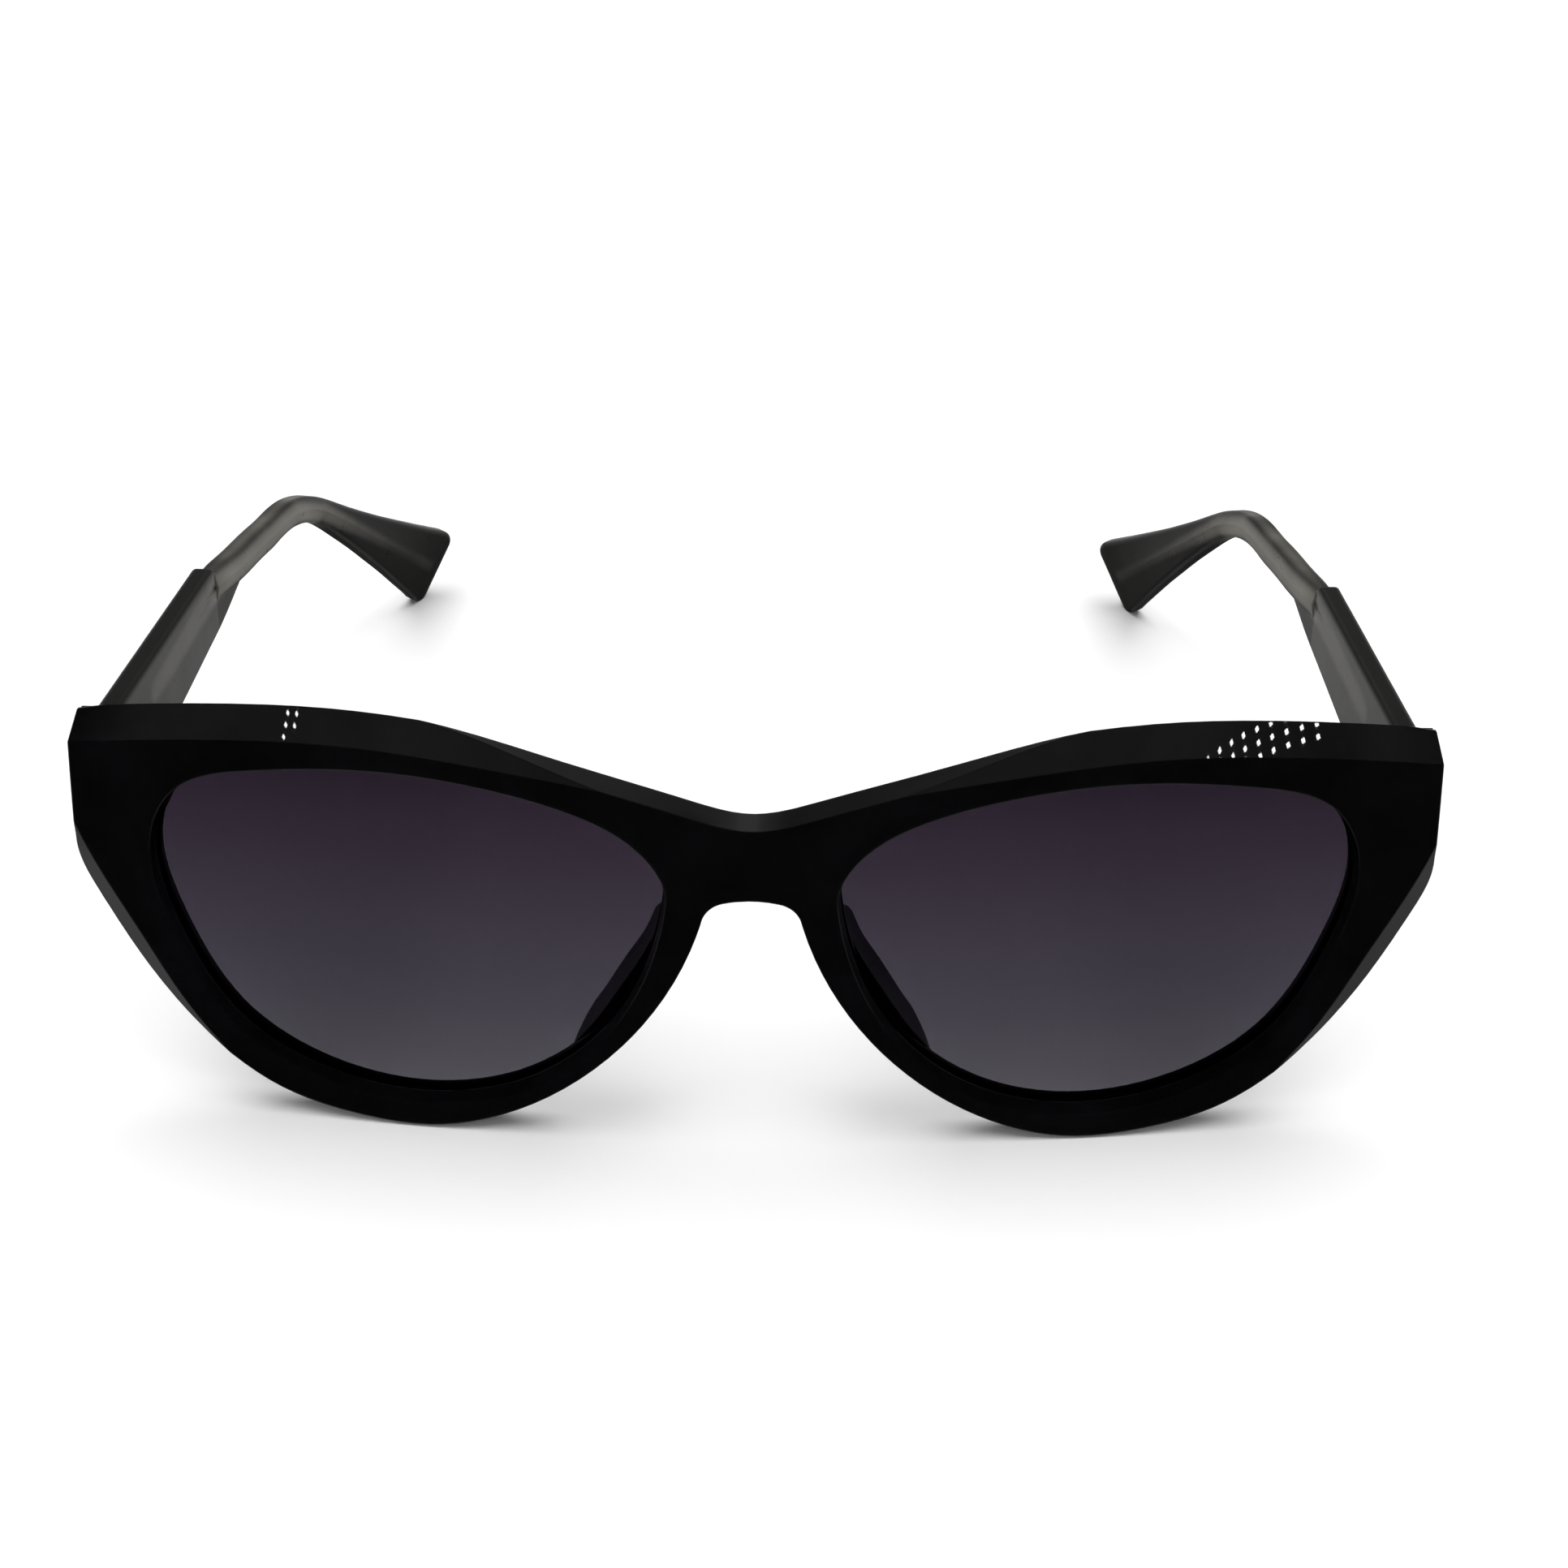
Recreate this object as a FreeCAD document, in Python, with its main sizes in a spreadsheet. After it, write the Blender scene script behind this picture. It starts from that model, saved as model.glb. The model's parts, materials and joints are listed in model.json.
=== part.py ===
"""Cat eye sunglasses: acetate front, sprung lenses, barrel hinges and wire-cored temples.

Every piece is modelled in the front's own frame: X to the wearer's left, Y back from the
face of the bridge, Z up the front from its lowest edge. The finished pieces are then leaned
back together by face_lean, which is how the glasses stand on their rims and temple tips.
"""
import FreeCAD, Part
import math
import os
import Sketcher

Vector = FreeCAD.Vector

# Driving dimensions, in millimetres and degrees: alias, value, what it is.
SIZES = [
    ("face_radius", 400.0, "curve of the front, seen from above"),
    ("front_thickness", 4.2, "acetate sheet of the front"),
    ("face_lean", 5.33, "lean of the front when it stands on a table"),
    ("rest_height", 0.613, "lifts the lowest edge of the leaned front to the table"),
    ("depth_centre", 68.99, "middle of the depth, brought to the origin"),
    ("end_piece_depth", 12.3, "back of the end pieces"),
    ("end_piece_inner", 63.3, "inner wall of the end pieces"),
    ("end_piece_base", 35.8, "underside of the end pieces"),
    ("end_piece_top", 46.6, "top of the end pieces behind the sheet"),
    ("brow_slope", 0.545, "rise of the brow facet for each millimetre of depth"),
    ("corner_bevel_width", 2.4, "lower outer facet, across the face"),
    ("corner_bevel_depth", 1.6, "lower outer facet, into the depth"),
    ("rim_bevel_width", 0.4, "bevel round each aperture, across the face"),
    ("rim_bevel_depth", 2.0, "bevel round each aperture, into the depth"),
    ("lens_radius", 350.0, "front curve of a low base lens"),
    ("lens_thickness", 1.5, "thickness of a lens"),
    ("lens_setback", 1.5, "centre of the lens behind the face"),
    ("lens_centre_x", 37.0, "middle of a lens from the bridge"),
    ("lens_centre_z", 24.0, "middle of a lens above the lowest edge"),
    ("groove_depth", 0.7, "rim groove that holds the lens edge"),
    ("knuckle_radius", 1.2, "outside of a hinge barrel"),
    ("knuckle_pitch", 1.5, "one barrel and its clearance"),
    ("knuckle_gap", 0.1, "clearance between barrels"),
    ("hinge_screw_radius", 0.70, "shank of the M1.4 hinge screw"),
    ("hinge_screw_length", 7.4, "shank of the hinge screw, through all five barrels"),
    ("pin_bore", 0.75, "bore of the barrels"),
    ("hinge_centre_z", 40.3, "middle of the hinge"),
    ("hinge_standoff", 1.35, "hinge axis from the temple and from the end piece"),
    ("leaf_thickness", 0.85, "plate of a hinge leaf"),
    ("hinge_screw_head", 1.1, "head radius of the hinge screw"),
    ("hinge_screw_height", 0.6, "head height of the hinge screw"),
    ("leaf_screw_radius", 0.4, "shank of a leaf screw"),
    ("leaf_screw_head", 0.7, "head radius of a leaf screw"),
    ("leaf_screw_height", 0.28, "head height of a leaf screw"),
    ("leaf_screw_length", 2.2, "shank of a leaf screw"),
    ("leaf_screw_spread", 2.4, "front leaf screws above and below the hinge centre"),
    ("front_leaf_start", 64.1, "inner end of a front leaf"),
    ("front_leaf_screw_x", 65.05, "front leaf screws from the bridge"),
    ("temple_leaf_end", 20.2, "rear end of a temple leaf"),
    ("temple_leaf_height", 5.8, "temple leaf, upright"),
    ("temple_leaf_screw_y", 16.7, "first screw of a temple leaf"),
    ("temple_leaf_screw_pitch", 2.2, "between the screws of a temple leaf"),
    ("leaf_corner", 0.6, "rounded corners of a leaf's plate"),
    ("hinge_clearance", 0.15, "between the barrels and the other leaf"),
    ("temple_face", 68.7, "inner face of a temple at its hinge"),
    ("temple_thickness", 2.8, "temple at its hinge"),
    ("butt_gap", 0.15, "gap between an end piece and an open temple"),
    ("wire_radius", 0.65, "core wire"),
    ("step_depth", 54.8, "rear end of a temple's thick section"),
    ("arm_width", 2.8, "slim arm, across"),
    ("arm_height", 4.1, "slim arm behind the step, upright"),
    ("tip_width", 2.4, "flared tip, across"),
    ("tip_height", 13.1, "flared tip at its end, upright"),
    ("tip_cant", 19.4, "turn of the tip about its own line"),
]

doc = FreeCAD.newDocument("cat_eye_sunglasses")
sheet = doc.addObject("Spreadsheet::Sheet", "Dimensions")
for row, (alias, value, note) in enumerate(SIZES, start=1):
    sheet.set("A%d" % row, note)
    sheet.set("B%d" % row, str(value))
    sheet.setAlias("B%d" % row, alias)
doc.recompute()


def size(alias):
    """A driving dimension, read from the sheet."""
    return float(getattr(sheet, alias))


def add(kind, name, **properties):
    """A document object with some of its properties set."""
    obj = doc.addObject(kind, name)
    for key, value in properties.items():
        setattr(obj, key, value)
    return obj


def bind(obj, **expressions):
    """Ties properties of an object to expressions over the sheet."""
    for key, text in expressions.items():
        obj.setExpression(key, text)
    return obj


def shape_feature(name, shape):
    """A feature for a free-form shape that no primitive makes."""
    obj = doc.addObject("Part::Feature", name)
    obj.Shape = shape
    return obj


def face_depth(x):
    """Depth of the curved face at a distance x from the bridge."""
    radius = size("face_radius")
    return radius - math.sqrt(radius * radius - x * x)


def on_plane(points):
    """Points of the front's outline, from (x, z) pairs."""
    return [Vector(x, 0, z) for x, z in points]


def spline(points, closed=False):
    """A smooth edge through the points."""
    curve = Part.BSplineCurve()
    curve.interpolate(points, PeriodicFlag=closed)
    return curve.toShape()


def mirrored(points):
    """The same points on the other side of the bridge, in reverse order."""
    return [(-x, z) for x, z in reversed(points)]


def sheet_side(name, radius):
    """A cylinder about the axis of the curved sheet, its radius tied to the sheet's."""
    below = 4.0
    cylinder = add("Part::Cylinder", name, Height=60)
    cylinder.Placement.Base = Vector(0, size("face_radius"), -below)
    return bind(cylinder, Radius=radius)


def wedge(first, second, third):
    """A solid bounded by the ruled surfaces between three long edges."""
    sides = [Part.makeRuledSurface(a, b) for a, b in
             ((first, second), (second, third), (third, first))]
    ends = []
    for tip in (0, 1):
        corners = [edge.Curve.value(edge.ParameterRange[tip]) for edge in (first, second, third)]
        ends.append(Part.Face(Part.makePolygon(corners + corners[:1])))
    solid = Part.makeSolid(Part.makeShell(sides + ends))
    if solid.Volume < 0:
        solid.reverse()
    return solid


# ---------------------------------------------------------------- front

# Half of the front's outline, as (x, z): brow, outer side, rim and nose.
BROW = [(7.0, 40.55), (20.3, 44.6), (34.0, 48.4), (48.0, 49.8), (60.0, 49.2), (72.9, 47.0)]
BRIDGE_TOP = (0.0, 39.0)
OUTER_SIDE = (73.4, 40.0)
RIM = [(73.8, 33.4), (73.7, 30.0), (72.2, 26.1), (68.45, 18.8), (62.5, 11.0), (52.8, 3.25),
       (44.0, 0.6), (36.0, 0.0), (26.7, 2.5), (16.9, 9.1), (9.9, 17.6), (5.4, 27.8)]
NOSE_CORNER = (4.55, 29.45)
BRIDGE_SIDE = (3.0, 30.3)
BRIDGE_BASE = (0.0, 30.65)

# Ridge where the flat face meets the brow facet.
BROW_RIDGE = [(0.0, 39.3), (13.5, 42.75), (27.5, 45.25), (42.0, 46.95), (58.0, 46.6), (74.5, 44.7)]
# Ridge where the flat face meets the lower outer facet.
CORNER_RIDGE = [(73.9, 36.0), (71.9, 30.7), (67.6, 22.0), (63.2, 13.5), (59.0, 7.6), (56.5, 4.6)]

# Aperture in the face of the rim, counter-clockwise from the nose.
APERTURE = [(9.2, 30.0), (11.3, 21.3), (17.3, 11.4), (25.5, 5.3), (37.0, 2.8), (48.0, 4.9),
            (57.3, 10.9), (63.6, 22.5), (65.1, 34.5), (61.5, 40.6), (53.0, 43.4),
            (40.5, 44.3), (28.0, 42.95), (18.9, 40.4), (12.2, 36.4)]


def outline_face():
    """The whole front, bridge and both rims, as one flat face."""
    edges = [spline(on_plane(mirrored(BROW) + [BRIDGE_TOP] + BROW))]
    for side in (1, -1):
        def at(point):
            return Vector(side * point[0], 0, point[1])
        edges.append(Part.Arc(at(BROW[-1]), at(OUTER_SIDE), at(RIM[0])).toShape())
        edges.append(spline([at(point) for point in RIM]))
        edges.append(Part.Arc(at(RIM[-1]), at(NOSE_CORNER), at(BRIDGE_SIDE)).toShape())
    edges.append(Part.Arc(Vector(BRIDGE_SIDE[0], 0, BRIDGE_SIDE[1]),
                          Vector(BRIDGE_BASE[0], 0, BRIDGE_BASE[1]),
                          Vector(-BRIDGE_SIDE[0], 0, BRIDGE_SIDE[1])).toShape())
    return Part.Face(Part.Wire(Part.__sortEdges__(edges)))


def aperture_face(inset):
    """One lens opening, drawn in from the edge of the face by inset."""
    corners = on_plane(APERTURE)
    curve = spline(corners, closed=True).Curve
    moved = []
    for point in corners:
        along = curve.tangent(curve.parameter(point))[0]
        moved.append(point + Vector(-along.z, 0, along.x) * inset)
    return Part.Face(Part.Wire([spline(moved, closed=True)]))


def curved_edge(points, side, depth, rise):
    """An outline laid on the curved face, then moved back and up."""
    return spline([Vector(side * x, face_depth(x) + depth, z + rise) for x, z in points])


def brow_tool(side):
    """What is milled off above the sloping brow facet."""
    slope = size("brow_slope")
    back = 16.0
    front = -1.0
    return wedge(curved_edge(BROW_RIDGE, side, front, front * slope),
                 curved_edge(BROW_RIDGE, side, back, back * slope),
                 curved_edge(BROW_RIDGE, side, front, back * slope))


def corner_tool(side):
    """What is milled off outside the lower outer facet."""
    width = size("corner_bevel_width")
    depth = size("corner_bevel_depth")
    across = Vector(side * 0.86, 0, -0.51)
    past = 3.0
    before = 0.5
    start = [Vector(side * x, face_depth(x), z) for x, z in CORNER_RIDGE]
    step = across * width + Vector(0, depth, 0)
    near = [point - step * before for point in start]
    far = [point + step * past for point in start]
    lead = Vector(0, before + depth * before, 0)
    outside = [point + across * width * past - lead for point in start]
    return wedge(spline(near), spline(far), spline(outside))


def prism(name, face):
    """A flat outline run back through the whole depth of the front."""
    start = -3.0
    length = 20.0
    base = shape_feature(name + "_outline", face)
    base.Placement.Base = Vector(0, start, 0)
    return add("Part::Extrusion", name, Base=base, Dir=Vector(0, 1, 0), LengthFwd=length,
               Solid=True)


def other_side(source, name):
    """The same piece for the wearer's right."""
    return add("Part::Mirroring", name, Source=source, Normal=Vector(1, 0, 0))


def curved_sheet():
    """The curved acetate sheet that the front is cut from."""
    outer = sheet_side("sheet_face", "Dimensions.face_radius")
    inner = sheet_side("sheet_back", "Dimensions.face_radius - Dimensions.front_thickness")
    return add("Part::Cut", "sheet", Base=outer, Tool=inner)


def end_piece():
    """The thicker corner that carries a hinge, with its rear inner edges rounded."""
    start = 7.0
    width = 14.0
    edge_radius = 1.6
    reach = 0.01
    block = add("Part::Box", "end_block", Length=width)
    bind(block, Width="Dimensions.end_piece_depth - %g" % start,
         Height="Dimensions.end_piece_top - Dimensions.end_piece_base")
    block.Placement.Base = Vector(size("end_piece_inner"), start, size("end_piece_base"))
    doc.recompute()
    rounded = add("Part::Fillet", "end_block_rounded", Base=block)
    back = size("end_piece_depth") - reach
    inner = size("end_piece_inner") + reach
    base = size("end_piece_base") + reach
    edges = []
    for number, edge in enumerate(block.Shape.Edges, start=1):
        bounds = edge.BoundBox
        if bounds.YMin > back and (bounds.XMax < inner or bounds.ZMax < base):
            edges.append((number, edge_radius, edge_radius))
    rounded.Edges = edges
    limits = prism("end_outline", outline_face())
    return add("Part::Common", "end_piece", Base=rounded, Tool=limits)


def lens_centre():
    """Centre of a lens's sphere, behind the face along the face's own normal."""
    x = size("lens_centre_x")
    radius = size("face_radius")
    back = Vector(-x / radius, math.sqrt(1 - (x / radius) ** 2), 0)
    point = Vector(x, face_depth(x), size("lens_centre_z"))
    return point + back * (size("lens_setback") + size("lens_radius"))


def lens():
    """A spherical shell cut to the rim groove."""
    outer = add("Part::Sphere", "lens_front_curve")
    inner = add("Part::Sphere", "lens_back_curve")
    bind(outer, Radius="Dimensions.lens_radius")
    bind(inner, Radius="Dimensions.lens_radius - Dimensions.lens_thickness")
    for sphere in (outer, inner):
        sphere.Placement.Base = lens_centre()
    shell = add("Part::Cut", "lens_shell", Base=outer, Tool=inner)
    face = aperture_face(size("rim_bevel_width") - size("groove_depth"))
    return add("Part::Common", "lens", Base=shell, Tool=prism("lens_blank", face))


def is_face_edge(edge):
    """True for the edge of an aperture in the curved face."""
    points = [edge.valueAt(edge.FirstParameter + part * (edge.LastParameter - edge.FirstParameter))
              for part in (0.1, 0.35, 0.6, 0.85)]
    centre = edge.BoundBox.Center
    return (all(abs(point.y - face_depth(point.x)) < 0.02 for point in points)
            and edge.isClosed() and abs(abs(centre.x) - size("lens_centre_x")) < 2)


def front(lenses):
    """The acetate front: sheet, end pieces, bevelled apertures, facets and lens grooves."""
    blank_outline = prism("front_blank", outline_face())
    piece = end_piece()
    solids = [add("Part::Common", "front_sheet", Base=blank_outline, Tool=curved_sheet()),
              piece, other_side(piece, "right_end_piece")]
    blank = add("Part::MultiFuse", "front_solid", Shapes=solids, Refine=True)
    opening = prism("opening", aperture_face(size("rim_bevel_width")))
    for cut in (opening, other_side(opening, "right_opening")):
        blank = add("Part::Cut", "less_" + cut.Name, Base=blank, Tool=cut)
    doc.recompute()
    bevel = add("Part::Chamfer", "rim_bevels", Base=blank)
    bevel.Edges = [(number, size("rim_bevel_width"), size("rim_bevel_depth"))
                   for number, edge in enumerate(blank.Shape.Edges, start=1)
                   if is_face_edge(edge)]
    blank = bevel
    cuts = [shape_feature("left_brow_cut", brow_tool(1)),
            shape_feature("right_brow_cut", brow_tool(-1)),
            shape_feature("left_corner_cut", corner_tool(1)),
            shape_feature("right_corner_cut", corner_tool(-1))] + lenses
    for cut in cuts:
        blank = add("Part::Cut", "front_less_" + cut.Name, Base=blank, Tool=cut)
    return blank


# ------------------------------------------------------------- nose pads

# Outline of a pad where it meets the rim, and of its rounded rear ridge.
PAD_BASE = [(6.3, 26.6), (7.2, 22.6), (10.3, 17.6), (13.6, 13.4), (16.6, 9.9), (19.0, 8.0),
            (20.3, 8.2), (19.3, 10.1), (16.6, 13.7), (13.7, 18.4), (10.6, 24.4), (8.3, 27.4)]
PAD_REAR = [(9.2, 23.9), (10.2, 21.5), (12.2, 18.0), (14.3, 14.8), (15.9, 12.7), (17.2, 11.3),
            (18.1, 11.2), (17.6, 12.3), (16.1, 14.7), (13.9, 18.4), (11.4, 22.9), (10.0, 24.6)]


def nose_pad():
    """A pad that leans away from the nose and rounds off at the rear."""
    base_depth = 3.2
    stations = ((0.0, 0.0), (3.4, 0.25), (5.6, 0.62), (6.9, 1.0))
    sections = []
    for height, share in stations:
        points = []
        for (x, z), (rear_x, rear_z) in zip(PAD_BASE, PAD_REAR):
            points.append(Vector(x + (rear_x - x) * share, base_depth + height,
                                 z + (rear_z - z) * share))
        sections.append(Part.Wire([spline(points, closed=True)]))
    blank = shape_feature("nose_pad_blank", Part.makeLoft(sections, True))
    behind = sheet_side("behind_front", "Dimensions.face_radius - Dimensions.front_thickness")
    return add("Part::Common", "nose_pad", Base=blank, Tool=behind)


# --------------------------------------------------------------- temples

# Centre line of a temple's core, from the hinge end to the end of the tip.
CORE_START = Vector(70.1, 24.0, 42.7)
CORE_STEP = Vector(69.45, 55.0, 43.85)
CORE_BEND = Vector(66.3, 90.3, 42.45)
CORE_END = Vector(55.3, 135.0, 15.0)
STEP_RADIUS = 60.0
BEND_RADIUS = 35.0


def rounded_route(points, radii):
    """Straight runs joined by tangent arcs, one radius for each inner point."""
    edges = []
    start = points[0]
    for before, corner, after, radius in zip(points, points[1:], points[2:], radii):
        toward = (corner - before).normalize()
        away = (after - corner).normalize()
        turn = toward.getAngle(away)
        trim = radius * math.tan(turn / 2)
        first = corner - toward * trim
        last = corner + away * trim
        inward = (away - toward).normalize()
        middle = corner + inward * (radius / math.cos(turn / 2) - radius)
        edges.append(Part.LineSegment(start, first).toShape())
        edges.append(Part.Arc(first, middle, last).toShape())
        start = last
    edges.append(Part.LineSegment(start, points[-1]).toShape())
    return edges


def place_on(route, distance):
    """Point and direction at a distance along a route."""
    for edge in route:
        if distance <= edge.Length:
            parameter = edge.getParameterByLength(max(distance, 0.0))
            return edge.valueAt(parameter), edge.tangentAt(parameter)
        distance -= edge.Length
    edge = route[-1]
    return edge.valueAt(edge.LastParameter), edge.tangentAt(edge.LastParameter)


def arm_section(point, along, width, height, corner, crown, cant):
    """Rounded rectangle across the arm, its inner face raised to a ridge."""
    side = along.cross(Vector(0, 0, 1)).normalize()
    up = side.cross(along).normalize()
    turn = math.radians(cant)
    tilted_up = up * math.cos(turn) - side * math.sin(turn)
    tilted_side = side * math.cos(turn) + up * math.sin(turn)

    def at(across, above):
        return point + tilted_side * across + tilted_up * above

    half_w = width / 2
    half_h = height / 2
    slack = corner * (1 - math.sqrt(0.5))
    edges = [Part.LineSegment(at(-half_w, half_h - corner), at(-half_w - crown, 0)),
             Part.LineSegment(at(-half_w - crown, 0), at(-half_w, corner - half_h)),
             Part.Arc(at(-half_w, corner - half_h), at(slack - half_w, slack - half_h),
                      at(corner - half_w, -half_h)),
             Part.LineSegment(at(corner - half_w, -half_h), at(half_w - corner, -half_h)),
             Part.Arc(at(half_w - corner, -half_h), at(half_w - slack, slack - half_h),
                      at(half_w, corner - half_h)),
             Part.LineSegment(at(half_w, corner - half_h), at(half_w, half_h - corner)),
             Part.Arc(at(half_w, half_h - corner), at(half_w - slack, half_h - slack),
                      at(half_w - corner, half_h)),
             Part.LineSegment(at(half_w - corner, half_h), at(corner - half_w, half_h)),
             Part.Arc(at(corner - half_w, half_h), at(slack - half_w, half_h - slack),
                      at(-half_w, half_h - corner))]
    return Part.Wire([edge.toShape() for edge in edges])


# How far through a rounded end each of its sections lies.
END_SHARES = (0.0, 0.3, 0.55, 0.75, 0.89, 0.97, 0.998)


def rounded_end(point, along, width, height, corner, cant, depth):
    """Closes an arm with a convex end: it shortens gently first and thins out last."""
    sections = []
    for share in END_SHARES:
        tall = (1 - share ** 3) ** (1 / 3)
        thin = math.sqrt(1 - share ** 6)
        sections.append(arm_section(point + along * (depth * share), along, width * thin,
                                    height * tall, corner * thin, 0.0, cant))
    return Part.makeLoft(sections, True)


def arm(route):
    """The slim arm and its flared, canted tip, lofted along the core line."""
    corner = 0.65
    crown = 0.3
    flare_length = 48.0
    end_depth = 3.4
    end_margin = 1.2
    section_count = 15
    slimming = 0.4
    length = sum(edge.Length for edge in route) - end_margin
    start = 30.0
    last = length - end_depth
    drawn = 0.65
    draw_length = 8.0
    sections = []
    for number in range(section_count):
        distance = start + (last - start) * number / (section_count - 1)
        flare = max(distance - length + flare_length, 0.0) / flare_length
        slim = min((distance - start) / (length - flare_length - start), 1.0)
        draw = drawn * max(1 - (distance - start) / draw_length, 0.0)
        width = size("arm_width") + (size("tip_width") - size("arm_width")) * flare - draw
        slim_height = size("arm_height") - slimming * slim
        height = slim_height + (size("tip_height") - slim_height) * flare ** 1.4
        point, along = place_on(route, distance)
        outward = along.cross(Vector(0, 0, 1)).normalize() * (draw / 2)
        sections.append(arm_section(point + outward, along, width, height, corner,
                                    crown * (1 - flare ** 3), size("tip_cant") * flare))
    end = rounded_end(point, along, width, height, corner, size("tip_cant") * flare, end_depth)
    return Part.makeLoft(sections, True), end


def upright_section(depth, middle, width, low, high, corner):
    """A rounded rectangle across a temple, square to its length."""
    centre = Vector(middle, depth, (low + high) / 2)
    return arm_section(centre, Vector(0, 1, 0), width, high - low, corner, 0.0, 0.0)


def thick_section():
    """The flat front section of a temple, tapering back to the step, and its rounded end."""
    corner = 0.7
    end_depth = 1.4
    width = size("temple_thickness")
    middle = size("temple_face") + width / 2
    butt = size("end_piece_depth") + size("butt_gap")
    rear = size("step_depth") - end_depth
    drift = 0.1
    low, high = 37.8, 46.4
    body = Part.makeLoft([upright_section(butt, middle, width, 34.4, 46.6, corner),
                          upright_section(rear, middle + drift, width, low, high, corner)],
                         True, True)
    end = rounded_end(Vector(middle + drift, rear, (low + high) / 2), Vector(0, 1, 0), width,
                      high - low, corner, 0.0, end_depth)
    return body, end


# What fairs the underside of the step: depth, middle, width, lower and upper edge.
STEP_TAIL = [(49.0, 69.95, 2.0, 37.50, 44.0), (53.0, 69.85, 2.0, 37.75, 44.2),
             (57.0, 69.50, 2.0, 38.90, 44.4), (61.0, 69.10, 1.9, 40.30, 44.4),
             (65.0, 68.75, 1.7, 41.40, 44.3), (69.5, 68.30, 1.5, 42.20, 44.2)]


def step_tail():
    """What fairs the underside of the thick section into the arm."""
    return Part.makeLoft([upright_section(depth, middle, width, low, high, 0.6)
                          for depth, middle, width, low, high in STEP_TAIL], True)


# ---------------------------------------------------------------- hinges

def knuckle(name, number, bore):
    """One barrel of the hinge, counted up from the lowest."""
    outer = add("Part::Cylinder", name)
    bind(outer, Radius="Dimensions.knuckle_radius",
         Height="Dimensions.knuckle_pitch - Dimensions.knuckle_gap")
    hole = add("Part::Cylinder", name + "_bore")
    bind(hole, Radius=bore, Height="Dimensions.knuckle_pitch")
    base = Vector(hinge_x, hinge_y, knuckle_base(number))
    outer.Placement.Base = base
    hole.Placement.Base = base - Vector(0, 0, size("knuckle_gap") / 2)
    return outer, hole


def knuckle_base(number):
    """Height of the lower face of one barrel."""
    return (size("hinge_centre_z") - 2.5 * size("knuckle_pitch") + size("knuckle_gap") / 2
            + number * size("knuckle_pitch"))


def box(name, low, high):
    """A box between two corners."""
    piece = add("Part::Box", name, Length=high.x - low.x, Width=high.y - low.y,
                Height=high.z - low.z)
    piece.Placement.Base = low
    return piece


def leaf(name, plate, numbers, web_low, web_high):
    """A plate, its barrels and the webs that join them, bored for the screw."""
    parts = [plate]
    holes = []
    for number in numbers:
        bore = "Dimensions.%s" % ("hinge_screw_radius" if number == 0 else "pin_bore")
        outer, hole = knuckle("%s_barrel_%d" % (name, number), number, bore)
        low = knuckle_base(number)
        high = low + size("knuckle_pitch") - size("knuckle_gap")
        web = box("%s_web_%d" % (name, number), Vector(web_low.x, web_low.y, low),
                  Vector(web_high.x, web_high.y, high))
        parts += [outer, web]
        holes.append(hole)
    solid = add("Part::MultiFuse", name + "_solid", Shapes=parts)
    bores = add("Part::MultiFuse", name + "_bores", Shapes=holes) if len(holes) > 1 else holes[0]
    return add("Part::Cut", name + "_bored", Base=solid, Tool=bores)


def origin_plane(body, role):
    """One of a body's own origin planes."""
    return next(item for item in body.Origin.OriginFeatures if item.Role == role)


def sketch_on(body, name, role):
    """An empty sketch on one of a body's origin planes."""
    sketch = body.newObject("Sketcher::SketchObject", name)
    sketch.AttachmentSupport = [(origin_plane(body, role), "")]
    sketch.MapMode = "FlatFace"
    return sketch


def outline(sketch, points):
    """A closed outline of upright and level lines through the points."""
    count = len(points)
    for number, (x, y) in enumerate(points):
        next_x, next_y = points[(number + 1) % count]
        sketch.addGeometry(Part.LineSegment(Vector(x, y, 0), Vector(next_x, next_y, 0)), False)
    for number, (x, y) in enumerate(points):
        after = (number + 1) % count
        level = abs(points[after][1] - y) < 1e-9
        sketch.addConstraint(Sketcher.Constraint("Coincident", number, 2, after, 1))
        sketch.addConstraint(Sketcher.Constraint("Horizontal" if level else "Vertical", number))


def dimension(sketch, kind, line, value, name, expression):
    """Distance of a line's start from the sketch's origin, tied to the sheet."""
    number = sketch.addConstraint(Sketcher.Constraint(kind, -1, 1, line, 1, value))
    sketch.renameConstraint(number, name)
    sketch.setExpression("Constraints." + name, expression)


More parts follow.
